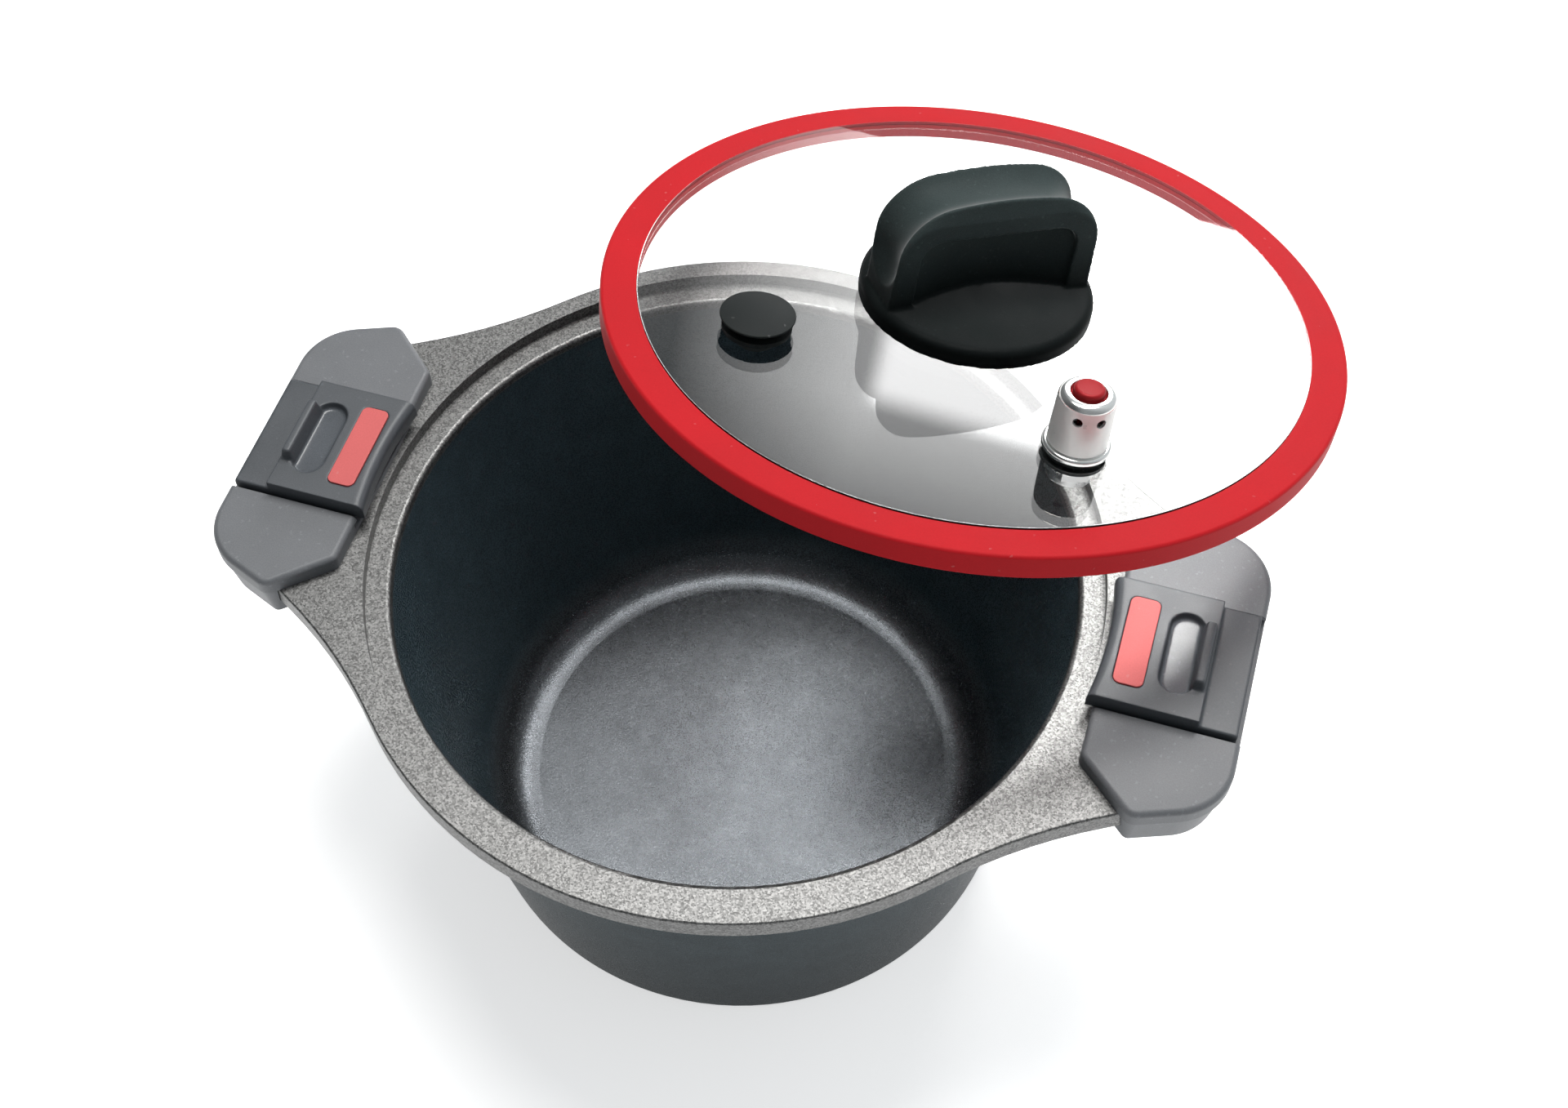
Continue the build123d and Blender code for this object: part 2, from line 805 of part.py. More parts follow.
handle_pieces = {
    "handle_upper": handle_upper(),
    "handle_lower": handle_lower(),
    "handle_screws": handle_screws(),
    "latch_slide": latch_slide(),
    "latch_inlay": latch_inlay(),
    "latch_stop_pin": latch_stop_pin(),
}
for name, piece in handle_pieces.items():
    write("right_" + name, piece)
    write("left_" + name, mirror(piece, about=Plane.YZ))

on_valve = place_on_lid(valve_place, valve_angle)
on_plug = place_on_lid(plug_place, plug_angle)
lid_pieces = {
    "lid_glass": lid_glass(),
    "lid_ring": lid_ring(),
    "knob": knob(),
    "knob_gasket": knob_gasket(),
    "knob_under_gasket": knob_under_gasket(),
    "knob_washer": knob_washer(),
    "knob_screw": knob_screw(),
    "valve_body": on_valve * valve_body(),
    "valve_gasket": on_valve * valve_gasket(valve_gasket_radius, glass_top, flange_bottom),
    "valve_under_gasket": on_valve * valve_gasket(valve_gasket_radius, under_gasket_bottom, glass_bottom),
    "valve_nut": on_valve * valve_nut(),
    "valve_cap": on_valve * valve_cap(),
    "valve_button": on_valve * valve_button(),
    "valve_spring": on_valve * valve_spring(),
    "valve_ball": on_valve * valve_ball(),
    "safety_plug": on_plug * safety_plug(),
}
for name, piece in lid_pieces.items():
    write(name, lid_pose() * piece)
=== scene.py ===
import json
import math

import bpy
from mathutils import Matrix, Vector


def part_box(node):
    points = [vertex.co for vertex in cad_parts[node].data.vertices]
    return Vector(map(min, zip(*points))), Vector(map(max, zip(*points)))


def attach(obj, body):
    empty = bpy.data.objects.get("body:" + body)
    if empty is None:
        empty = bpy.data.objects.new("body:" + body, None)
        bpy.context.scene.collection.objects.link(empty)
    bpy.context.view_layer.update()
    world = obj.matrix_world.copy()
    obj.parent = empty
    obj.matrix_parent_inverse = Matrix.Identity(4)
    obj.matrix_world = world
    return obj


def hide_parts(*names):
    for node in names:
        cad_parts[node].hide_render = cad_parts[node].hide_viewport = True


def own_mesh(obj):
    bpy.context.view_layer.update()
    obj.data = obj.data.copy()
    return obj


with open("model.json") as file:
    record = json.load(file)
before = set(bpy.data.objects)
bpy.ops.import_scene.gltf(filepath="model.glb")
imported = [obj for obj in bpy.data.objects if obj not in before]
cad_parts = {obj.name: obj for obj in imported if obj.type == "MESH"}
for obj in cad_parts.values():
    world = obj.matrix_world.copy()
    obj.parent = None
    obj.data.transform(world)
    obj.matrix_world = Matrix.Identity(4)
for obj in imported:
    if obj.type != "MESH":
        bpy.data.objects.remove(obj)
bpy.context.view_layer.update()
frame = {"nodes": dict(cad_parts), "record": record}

bl_info = {
    "name": "Pressure Cooker Looks",
    "version": (1, 0, 0),
    "blender": (4, 5, 0),
    "location": "View3D > Sidebar > Cooker",
    "description": "Dresses the pot, latches and glass lid of a stovetop pressure cooker",
    "category": "Object",
}

# Lengths are in metres and angles in degrees, apart from the camera's sensor in millimetres.
RIM_HEIGHT = 0.155
SENSOR_WIDTH = 36
FLOOR_SIZE = (12, 12)
PANEL_SIZE = (1.0, 0.6)
PANEL_PLACE = (-0.1, 2.0, 1.05)

# How the lid is held, and the distance and angle on it of the valve and the plug
LID_MIDDLE = (0.0586, 0.0903, 0.2099)
LID_BEARING = 83.3
LID_TILT = 14.4
LID_TURN = -63.0
VALVE_PLACE = (0.08, -74.5)
PLUG_PLACE = (0.0782, 194.3)

# Thumb recess of the latch slides, with the height below which its floor lies
RECESS_MIDDLE = 0.1545
RECESS_HALF_WIDTH = 0.0062
RECESS_HALF_LENGTH = 0.016
RECESS_FLOOR = 0.1649

# Sealing ring: corner radii, and the bead that covers the pane's lower step
RING_OUTER_CORNER = 0.0012
RING_TOP_CORNER = 0.0005
RING_BOTTOM_CORNER = 0.0008
BEAD_WIDTH = 0.0004
BEAD_OVERLAP = 0.00005

# Pane: how far it is sunk into the ring's groove, its steps and its holes
GLASS_SINK = 0.00003
STEP_INSET = 0.00012
LOWER_STEP_INSET = 0.0001
STEP_CORNER = 0.0005
KNOB_HOLE = 0.005
VALVE_HOLE = 0.006
PLUG_HOLE = 0.007

# Valve: FLANGE_TOP and STEM_TIP are heights over the top face of the lid's ring, VENT_HEIGHT over the flange
FLANGE_TOP = 0.0039
STEM_TIP = -0.0019
CAP_TOP = 0.0015
CAP_TAPER = 0.0004
CAP_WALL = 0.001
CAP_CORNER = 0.0022
POLISHED_FOOT = 0.0003
POLISHED_HEAD = 0.0021
VENT_HEIGHT = 0.0135
VENT_ANGLES = (-116, -69)
BUTTON_GAP = 0.0008
BUTTON_HOLE_CORNER = 0.0003
BUTTON_RISE = 0.0018
BUTTON_CORNER = 0.0011
DISH_DEPTH = 0.0002
DISH_FLOOR_INSET = 0.0018
DISH_LIP_INSET = 0.0013
BUTTON_FLANGE_GAP = 0.00005
BUTTON_FLANGE_WIDTH = 0.0012
BUTTON_FLANGE_THICKNESS = 0.002
BUTTON_STEM_RADIUS = 0.0015

# Colours that need no setting of their own
LAMP_COLOUR = (1.0, 0.985, 0.965)
GLASS_COLOUR = (0.98, 0.99, 0.988, 1)
DUST_COLOUR = (0.5, 0.5, 0.5)
STEEL_COLOUR = (0.58, 0.58, 0.575)
CHROME_COLOUR = (0.82, 0.82, 0.8)

# Most of a cloudy noise's values lie between these two
NOISE_BAND = (0.3, 0.7)


class StageSettings(bpy.types.PropertyGroup):
    """Camera, floor and lights."""

    camera_azimuth: bpy.props.FloatProperty(
        name="Camera azimuth", description="Camera bearing round the pot, from its front towards +X",
        default=math.radians(19.6), subtype="ANGLE")
    camera_elevation: bpy.props.FloatProperty(
        name="Camera elevation", description="Camera height angle over the rim",
        default=math.radians(56.457), subtype="ANGLE")
    camera_distance: bpy.props.FloatProperty(
        name="Camera distance", description="From the middle of the rim", default=0.6934, unit="LENGTH")
    camera_roll: bpy.props.FloatProperty(
        name="Camera roll", description="Turn of the picture", default=math.radians(-2.38), subtype="ANGLE")
    lens: bpy.props.FloatProperty(
        name="Lens", description="Focal length in millimetres on a 36 mm sensor", default=45.94)
    shift: bpy.props.FloatVectorProperty(
        name="Shift", description="Framing shift in picture widths", default=(0.032, 0.0036), size=2)
    floor_colour: bpy.props.FloatVectorProperty(
        name="Floor", description="Colour of the floor", default=(0.93, 0.93, 0.93),
        subtype="COLOR", min=0, max=1)
    floor_glow: bpy.props.FloatProperty(
        name="Floor glow", description="Light that the floor gives off, as a lit table does", default=0.6)
    sky_colour: bpy.props.FloatVectorProperty(
        name="Room light colour", description="Tint of the light from all round", default=(0.9, 0.96, 1.0),
        subtype="COLOR", min=0, max=1)
    sky_front: bpy.props.FloatProperty(
        name="Room light in front", description="Strength of the room light on the camera's side",
        default=0.28)
    sky_back: bpy.props.FloatProperty(
        name="Room light behind", description="Strength of the room light behind the pot", default=0.7)
    sky_left: bpy.props.FloatProperty(
        name="Room light on the left", description="Share of the room light that is left on that side",
        default=0.22, subtype="FACTOR")
    top_power: bpy.props.FloatProperty(
        name="Top box", description="Power of the soft box overhead, in watts", default=25.0)
    top_size: bpy.props.FloatProperty(
        name="Top box size", description="Width of the soft box overhead", default=0.9, unit="LENGTH")
    top_place: bpy.props.FloatVectorProperty(
        name="Top box place", description="Middle of the soft box overhead", default=(-0.13, 0.47, 1.9),
        subtype="TRANSLATION")
    side_power: bpy.props.FloatProperty(
        name="Side box", description="Power of the soft box on the right, in watts", default=13.0)
    side_size: bpy.props.FloatProperty(
        name="Side box size", description="Width of the soft box on the right", default=0.5, unit="LENGTH")
    side_place: bpy.props.FloatVectorProperty(
        name="Side box place", description="Middle of the soft box on the right", default=(0.32, 1.14, 1.9),
        subtype="TRANSLATION")
    panel_strength: bpy.props.FloatProperty(
        name="Back panel", description="Brightness of the panel that the glass mirrors", default=4.2)
    panel_patch: bpy.props.FloatProperty(
        name="Bright patch", description="Brightness of the patch that shows below the knob", default=13.5)


class ShapeSettings(bpy.types.PropertyGroup):
    """Sizes of the pieces that are modelled here."""

    ring_radius: bpy.props.FloatProperty(
        name="Ring radius", description="Outer radius of the sealing ring", default=0.1275, unit="LENGTH")
    ring_wall: bpy.props.FloatProperty(
        name="Ring wall", description="Thickness outside the glass", default=0.0035, unit="LENGTH")
    ring_lip: bpy.props.FloatProperty(
        name="Ring lip", description="How far the lips reach over the glass", default=0.0089, unit="LENGTH")
    ring_height: bpy.props.FloatProperty(
        name="Ring height", description="Height of the sealing ring", default=0.009, unit="LENGTH")
    ring_top_lip: bpy.props.FloatProperty(
        name="Top lip", description="Thickness of the lip over the glass", default=0.0025, unit="LENGTH")
    glass_thickness: bpy.props.FloatProperty(
        name="Glass thickness", description="Thickness of the glass in the ring",
        default=0.004, unit="LENGTH")
    glass_rise: bpy.props.FloatProperty(
        name="Glass rise", description="Height of the pane over its rim in the ring",
        default=0.003, unit="LENGTH")
    valve_radius: bpy.props.FloatProperty(
        name="Valve radius", description="Radius of the valve's cap at its foot",
        default=0.0097, unit="LENGTH")
    valve_height: bpy.props.FloatProperty(
        name="Valve height", description="Height of the valve's cap", default=0.0193, unit="LENGTH")
    vent_radius: bpy.props.FloatProperty(
        name="Vent radius", description="Radius of a steam vent", default=0.0016, unit="LENGTH")
    button_radius: bpy.props.FloatProperty(
        name="Button radius", description="Radius of the press button", default=0.005, unit="LENGTH")
    knob_grain: bpy.props.FloatProperty(
        name="Knob skin", description="Size of the even faces that soften the knob",
        default=0.0006, unit="LENGTH")
    latch_grain: bpy.props.FloatProperty(
        name="Latch skin", description="Size of the even faces that soften the latches", default=0.00045,
        unit="LENGTH")


class FinishSettings(bpy.types.PropertyGroup):
    """Colours of the finishes."""

    rim: bpy.props.FloatVectorProperty(
        name="Rim", description="Sparkling cast grey of the rim and ears", default=(0.152, 0.152, 0.15),
        subtype="COLOR", min=0, max=1)
    # The floor and the wall inside are one coating: the floor's paler colour is painted light and the wall's
    # darker colour is painted shade.
    pot_floor_painted_light: bpy.props.FloatVectorProperty(
        name="Pot floor", description="Coating on the floor inside", default=(0.068, 0.073, 0.079),
        subtype="COLOR", min=0, max=1)
    pot_inside_painted_shade: bpy.props.FloatVectorProperty(
        name="Pot inside", description="Coating on the wall inside", default=(0.043, 0.064, 0.076),
        subtype="COLOR", min=0, max=1)
    pot_outside: bpy.props.FloatVectorProperty(
        name="Pot outside", description="Coating on the wall outside", default=(0.036, 0.047, 0.052),
        subtype="COLOR", min=0, max=1)
    handle: bpy.props.FloatVectorProperty(
        name="Handle", description="Grained plastic of the handles", default=(0.123, 0.129, 0.138),
        subtype="COLOR", min=0, max=1)
    latch: bpy.props.FloatVectorProperty(
        name="Latch", description="Plastic of the latch slides", default=(0.058, 0.064, 0.072),
        subtype="COLOR", min=0, max=1)
    inlay: bpy.props.FloatVectorProperty(
        name="Inlay", description="Coral mark on each latch", default=(0.56, 0.112, 0.11),
        subtype="COLOR", min=0, max=1)
    ring: bpy.props.FloatVectorProperty(
        name="Ring", description="Red silicone of the sealing ring", default=(0.44, 0.012, 0.017),
        subtype="COLOR", min=0, max=1)
    knob: bpy.props.FloatVectorProperty(
        name="Knob", description="Satin black of the knob", default=(0.0125, 0.0165, 0.0165),
        subtype="COLOR", min=0, max=1)
    rubber: bpy.props.FloatVectorProperty(
        name="Rubber", description="Black rubber of the plug and gaskets", default=(0.01, 0.0125, 0.0125),
        subtype="COLOR", min=0, max=1)
    button: bpy.props.FloatVectorProperty(
        name="Button", description="Anodised red of the valve's button", default=(0.3, 0.012, 0.016),
        subtype="COLOR", min=0, max=1)


def stage_settings():
    return bpy.context.scene.cooker_stage


def shape_settings():
    return bpy.context.scene.cooker_shape


def finish_settings():
    return bpy.context.scene.cooker_finish


def add(tree, kind, sources=None, **settings):
    """Add a shader node: its settings, then for each socket a value or the socket that feeds it."""
    node = tree.nodes.new("ShaderNode" + kind)
    for name, value in settings.items():
        setattr(node, name, value)
    for socket, source in (sources or {}).items():
        feed(tree, node.inputs[socket], source)
    return node


def feed(tree, socket, source):
    if isinstance(source, bpy.types.NodeSocket):
        tree.links.new(source, socket)
    else:
        socket.default_value = source


def new_material(name, roughness, metallic=0.0, gloss=0.5):
    """A material, its node tree, its shader and the piece's own coordinates in metres."""
    material = bpy.data.materials.new(name)
    material.use_nodes = True
    tree = material.node_tree
    shader = tree.nodes["Principled BSDF"]
    shader.inputs["Roughness"].default_value = roughness
    shader.inputs["Metallic"].default_value = metallic
    shader.inputs["Specular IOR Level"].default_value = gloss
    return material, tree, shader, add(tree, "TexCoord").outputs["Object"]


def noise(tree, place, size, detail=2.0):
    """Cloudy noise whose blotches are about one size across."""
    return add(tree, "TexNoise", {"Vector": place, "Scale": 1 / size, "Detail": detail}).outputs["Fac"]


def flakes(tree, place, size):
    """A random grey for each flake of one size."""
    cells = add(tree, "TexVoronoi", {"Vector": place, "Scale": 1 / size})
    return add(tree, "SeparateColor", {"Color": cells.outputs["Color"]}).outputs["Red"]


def remap(tree, value, low, high, new_low, new_high, smooth=False):
    return add(tree, "MapRange", {
        "Value": value, "From Min": low, "From Max": high, "To Min": new_low, "To Max": new_high},
        interpolation_type="SMOOTHSTEP" if smooth else "LINEAR").outputs["Result"]


def spread(tree, cloud, low, high):
    """Spread the usual values of a cloudy noise between two numbers."""
    return remap(tree, cloud, *NOISE_BAND, low, high)


def calculate(tree, operation, first, second):
    return add(tree, "Math", {0: first, 1: second}, operation=operation).outputs[0]


def between(tree, factor, first, second):
    """Mix two numbers."""
    return add(tree, "Mix", {0: factor, 2: first, 3: second}).outputs[0]


def blend(tree, factor, first, second, mode="MIX"):
    """Mix two colours."""
    colours = {0: factor}
    for slot, colour in ((6, first), (7, second)):
        colours[slot] = colour if isinstance(colour, bpy.types.NodeSocket) else (*colour, 1)
    return add(tree, "Mix", colours, data_type="RGBA", blend_type=mode).outputs[2]


def lighten(tree, colour, amount):
    """Multiply a colour by a changing amount."""
    grey = add(tree, "CombineColor", {"Red": amount, "Green": amount, "Blue": amount}).outputs["Color"]
    return blend(tree, 1.0, colour, grey, "MULTIPLY")


def roughen(tree, shader, height, depth, strength=1.0):
    """Bump the surface by a height of one depth in metres."""
    bump = add(tree, "Bump", {"Height": height, "Distance": depth, "Strength": strength})
    feed(tree, shader.inputs["Normal"], bump.outputs["Normal"])


def cast_coating():
    """Sparkling cast metal: pale on the rim and ears, dark on the walls, mottled on the floor inside. The
    floor and the wall inside are one coating: the floor's paler tone is painted light and the wall's darker
    tone is painted shade. The outer wall has painted shade that darkens it towards the bottom.
    """
    colours = finish_settings()
    material, tree, shader, place = new_material("cast_coating", roughness=0.45, metallic=0.85, gloss=0.14)
    axes = add(tree, "SeparateXYZ", {"Vector": place}).outputs
    level = add(tree, "CombineXYZ", {"X": axes["X"], "Y": axes["Y"]}).outputs["Vector"]
    height = axes["Z"]
    facing = add(tree, "NewGeometry").outputs["Normal"]
    spoke = add(tree, "VectorMath", {0: level}, operation="NORMALIZE").outputs["Vector"]
    outwards = add(tree, "VectorMath", {0: facing, 1: spoke}, operation="DOT_PRODUCT").outputs["Value"]
    upwards = add(tree, "SeparateXYZ", {"Vector": facing}).outputs["Z"]

    sparkle = flakes(tree, place, size=0.00055)
    fine = noise(tree, place, size=0.0006, detail=3)
    blotch = noise(tree, place, size=0.011, detail=4)
    rings = add(tree, "TexWave", {
        "Vector": level, "Scale": 34.0, "Distortion": 1.2, "Detail": 2.0, "Detail Scale": 3.0},
        wave_type="RINGS", rings_direction="Z").outputs["Fac"]

    inside = remap(tree, calculate(tree, "SUBTRACT", upwards, outwards), -0.1, 0.1, 0, 1)
    floor_curve = (0.010, 0.026)
    rim_edge = (0.1462, 0.1468)
    outer_wall = (0.02, 0.145)
    low = remap(tree, height, *floor_curve, 1, 0, smooth=True)
    rim = remap(tree, height, *rim_edge, 0, 1)
    # Painted shade: the outer wall's colour is multiplied by 0.65 near its foot, rising to 1.3 near the rim.
    painted_wall_shade = remap(tree, height, *outer_wall, 0.65, 1.3)

    # Painted light and shade: the floor inside gets the paler tone of one coating, and the wall inside gets
    # its darker tone.
    wall = blend(tree, low, colours.pot_inside_painted_shade, colours.pot_floor_painted_light)
    outer = lighten(tree, colours.pot_outside, painted_wall_shade)
    body = blend(tree, inside, outer, wall)
    base = blend(tree, rim, body, colours.rim)

    rim_grain = calculate(tree, "MULTIPLY", remap(tree, sparkle, 0, 1, 0.5, 1.46),
                          spread(tree, fine, 0.9, 1.1))
    mottle = calculate(tree, "MULTIPLY", spread(tree, blotch, 0.9, 1.1),
                       remap(tree, rings, 0, 1, 0.985, 1.015))
    body_grain = calculate(tree, "MULTIPLY", mottle, remap(tree, sparkle, 0, 1, 0.88, 1.12))
    grain = between(tree, rim, body_grain, rim_grain)
    feed(tree, shader.inputs["Base Color"], lighten(tree, base, grain))

    below = calculate(tree, "SUBTRACT", 1.0, rim)
    bowl = calculate(tree, "MULTIPLY", calculate(tree, "SUBTRACT", inside, low), below)
    outside = calculate(tree, "MULTIPLY", calculate(tree, "SUBTRACT", 1.0, inside), below)
    feed(tree, shader.inputs["Metallic"], between(tree, outside, between(tree, bowl, 0.85, 0.25), 0.0))
    feed(tree, shader.inputs["Specular IOR Level"], between(tree, outside, 0.14, 0.01))
    rough = between(tree, rim, 0.28, 0.44)
    feed(tree, shader.inputs["Roughness"],
         calculate(tree, "ADD", rough, spread(tree, fine, -0.05, 0.05)))
    grit = calculate(tree, "ADD", fine, calculate(tree, "MULTIPLY", sparkle, 0.6))
    roughen(tree, shader, grit, depth=0.00008, strength=0.5)
    return material


def moulded_plastic(name, colour, roughness, gloss=0.5, grain=0.00045):
    """Matte plastic with the fine grain of its mould and a few paler specks."""
    material, tree, shader, place = new_material(name, roughness, gloss=gloss)
    fine = noise(tree, place, size=grain, detail=2)
    cloud = noise(tree, place, size=0.018, detail=3)
    specks = remap(tree, flakes(tree, place, size=0.0008), 0.97, 1.0, 0, 0.3)
    shade = calculate(tree, "ADD", spread(tree, fine, 0.9, 1.1), specks)
    shade = calculate(tree, "MULTIPLY", shade, spread(tree, cloud, 0.94, 1.06))
    feed(tree, shader.inputs["Base Color"], lighten(tree, colour, shade))
    feed(tree, shader.inputs["Roughness"], spread(tree, cloud, roughness - 0.04, roughness + 0.05))
    roughen(tree, shader, fine, depth=0.00006, strength=0.45)
    return material


def lid_height(tree):
    """Height over the top face of the lid's ring, in metres."""
    upright = lid_place().col[2].xyz
    place = add(tree, "TexCoord").outputs["Object"]
    rise = add(tree, "VectorMath", {0: place, 1: upright}, operation="DOT_PRODUCT")
    return calculate(tree, "SUBTRACT", rise.outputs["Value"], upright.dot(lid_place().translation))


def paint_light_and_shade_by_height(material, low, high, foot, top):
    """Paint light and shade on a finish on the lid: multiply its colour by one number at its foot and another
    at its top.
    """
    tree = material.node_tree
    socket = tree.nodes["Principled BSDF"].inputs["Base Color"]
    shade = remap(tree, lid_height(tree), low, high, foot, top)
    feed(tree, socket, lighten(tree, socket.links[0].from_socket, shade))


def polish_ends(material, low, high):
    """Polish a satin metal on the lid below one height and above another."""
    tree = material.node_tree
    shader = tree.nodes["Principled BSDF"]
    height = lid_height(tree)
    edge = 0.0003
    polished_roughness = 0.14
    polished_metallic = 0.95
    bright = calculate(tree, "MAXIMUM", remap(tree, height, low, low + edge, 1, 0, smooth=True),
                       remap(tree, height, high, high + edge, 0, 1, smooth=True))
    socket = shader.inputs["Roughness"]
    feed(tree, socket, between(tree, bright, socket.links[0].from_socket, polished_roughness))
    socket = shader.inputs["Metallic"]
    feed(tree, socket, between(tree, bright, socket.default_value, polished_metallic))


def polish_recess_and_paint_sheen(material):
    """Polish the floor of the thumb recess in a latch slide, and lighten its colour as a painted sheen."""
    tree = material.node_tree
    shader = tree.nodes["Principled BSDF"]
    axes = add(tree, "SeparateXYZ", {"Vector": add(tree, "TexCoord").outputs["Object"]}).outputs
    aside = add(tree, "Math", {0: axes["X"]}, operation="ABSOLUTE").outputs[0]
    across = calculate(tree, "SUBTRACT", aside, RECESS_MIDDLE)
    wide = calculate(tree, "COMPARE", across, 0.0)
    wide.node.inputs[2].default_value = RECESS_HALF_WIDTH
    long = calculate(tree, "COMPARE", axes["Y"], 0.0)
    long.node.inputs[2].default_value = RECESS_HALF_LENGTH
    deep = calculate(tree, "LESS_THAN", axes["Z"], RECESS_FLOOR)
    floor = calculate(tree, "MULTIPLY", deep, calculate(tree, "MULTIPLY", wide, long))
    socket = shader.inputs["Roughness"]
    feed(tree, socket, between(tree, floor, socket.links[0].from_socket, 0.24))
    # Painted sheen: the colour of the recess floor is made 1.3 times lighter.
    socket = shader.inputs["Base Color"]
    feed(tree, socket, lighten(tree, socket.links[0].from_socket, remap(tree, floor, 0, 1, 1.0, 1.3)))


def soft_rubber(name, colour, roughness, dust, gloss=0.2):
    """Silicone or rubber: even colour, a soft bloom and a few specks of dust."""
    material, tree, shader, place = new_material(name, roughness, gloss=gloss)
    bloom = noise(tree, place, size=0.03, detail=4)
    fine = noise(tree, place, size=0.0006, detail=2)
    shade = calculate(tree, "MULTIPLY", spread(tree, bloom, 0.95, 1.05),
                      spread(tree, fine, 0.96, 1.04))
    toned = lighten(tree, colour, shade)
    specks = remap(tree, flakes(tree, place, size=0.0008), 0.9975, 0.999, 0, dust)
    feed(tree, shader.inputs["Base Color"], blend(tree, specks, toned, DUST_COLOUR))
    feed(tree, shader.inputs["Roughness"], spread(tree, bloom, roughness - 0.05, roughness + 0.05))
    roughen(tree, shader, fine, depth=0.00003, strength=0.5)
    return material


def turned_metal(name, colour, roughness, metallic=1.0, gloss=0.5):
    """Turned metal with a slight haze that comes and goes."""
    material, tree, shader, place = new_material(name, roughness, metallic, gloss)
    haze = noise(tree, place, size=0.006, detail=4)
    fine = noise(tree, place, size=0.0005, detail=2)
    feed(tree, shader.inputs["Base Color"], lighten(tree, colour, spread(tree, haze, 0.95, 1.03)))
    feed(tree, shader.inputs["Roughness"], spread(tree, haze, roughness - 0.03, roughness + 0.03))
    roughen(tree, shader, fine, depth=0.00001, strength=0.3)
    return material


def clear_glass():
    """Tempered glass, clear, with the faintest smear."""
    material, tree, shader, place = new_material("clear_glass", roughness=0.0)
    shader.inputs["Base Color"].default_value = GLASS_COLOUR
    shader.inputs["Transmission Weight"].default_value = 1.0
    shader.inputs["IOR"].default_value = 1.5
    smear = noise(tree, place, size=0.05, detail=4)
    feed(tree, shader.inputs["Roughness"], remap(tree, smear, 0.45, 0.8, 0.0, 0.03))
    return material


def dress(material, *nodes):
    """Give CAD nodes their material."""
    for node in nodes:
        node_object = frame["nodes"][node]
        node_object.data.materials.clear()
        node_object.data.materials.append(material)


def select_only(piece):
    bpy.ops.object.select_all(action="DESELECT")
    piece.select_set(True)
    bpy.context.view_layer.objects.active = piece


def pick_points(piece, place, reach=1e-5):
    """In edit mode, select only the points of a piece near one place."""
    bpy.ops.mesh.select_all(action="DESELECT")
    bpy.ops.object.mode_set(mode="OBJECT")
    found = [point for point in piece.data.vertices if (point.co - place).length < reach]
    if not found:
        raise RuntimeError(f"{piece.name} has no point at {tuple(place)}")
    for point in found:
        point.select = True
    bpy.ops.object.mode_set(mode="EDIT")


def turn_on_lathe(name, points, rounds, steps):
    """Draw half an outline of (radius, height) points, round its corners and spin it about Z."""
    bpy.ops.object.select_all(action="DESELECT")
    bpy.ops.mesh.primitive_plane_add(size=0.002)
    piece = bpy.context.object
    piece.name = name
    bpy.ops.object.mode_set(mode="EDIT")
    bpy.ops.mesh.select_mode(type="VERT")
    bpy.ops.mesh.select_all(action="SELECT")
    bpy.ops.mesh.merge(type="CENTER")
    bpy.ops.transform.translate(value=(points[0][0], 0, points[0][1]))
    for (radius, height), (next_radius, next_height) in zip(points, points[1:]):
        step = (next_radius - radius, 0, next_height - height)
        bpy.ops.mesh.extrude_vertices_move(TRANSFORM_OT_translate={"value": step})
    bpy.ops.mesh.select_all(action="SELECT")
    bpy.ops.mesh.remove_doubles(threshold=1e-6)
    for (radius, height), offset in rounds:
        pick_points(piece, Vector((radius, 0, height)))
        bpy.ops.mesh.bevel(offset=offset, segments=5, affect="VERTICES")
    bpy.ops.mesh.select_all(action="SELECT")
    bpy.ops.mesh.spin(steps=steps, angle=2 * math.pi, center=(0, 0, 0), axis=(0, 0, 1))
    tidy_skin()
    bpy.ops.object.mode_set(mode="OBJECT")
    return piece


def smooth_skin(piece, angle):
    """Shade a piece smooth below an angle in degrees, with its flats kept flat."""
    select_only(piece)
    bpy.ops.object.shade_smooth_by_angle(angle=math.radians(angle))
    piece.modifiers.new("flat_flats", "WEIGHTED_NORMAL").keep_sharp = True
    bpy.ops.object.modifier_apply(modifier="flat_flats")


def tidy_skin():
    """In edit mode, join doubled points and turn every face outwards."""
    bpy.ops.mesh.select_all(action="SELECT")
    bpy.ops.mesh.remove_doubles(threshold=2e-6)
    bpy.ops.mesh.normals_make_consistent(inside=False)


def drill(piece, place, turn, radius, length):
    """Cut a round hole through a piece, along a rod at a place and turn."""
    bpy.ops.object.select_all(action="DESELECT")
    bpy.ops.mesh.primitive_cylinder_add(
        vertices=48, radius=radius, depth=length, location=place, rotation=turn)
    rod = bpy.context.object
    select_only(piece)
    hole = piece.modifiers.new("hole", "BOOLEAN")
    hole.operation = "DIFFERENCE"
    hole.object = rod
    bpy.ops.object.modifier_apply(modifier="hole")
    bpy.data.objects.remove(rod)


def joined_copy(node, name):
    """A copy of a CAD solid with its loose triangles joined."""
    piece = bpy.data.objects.new(name, frame["nodes"][node].data.copy())
    bpy.context.scene.collection.objects.link(piece)
    select_only(piece)
    bpy.ops.object.mode_set(mode="EDIT")
    tidy_skin()
    bpy.ops.object.mode_set(mode="OBJECT")
    return piece


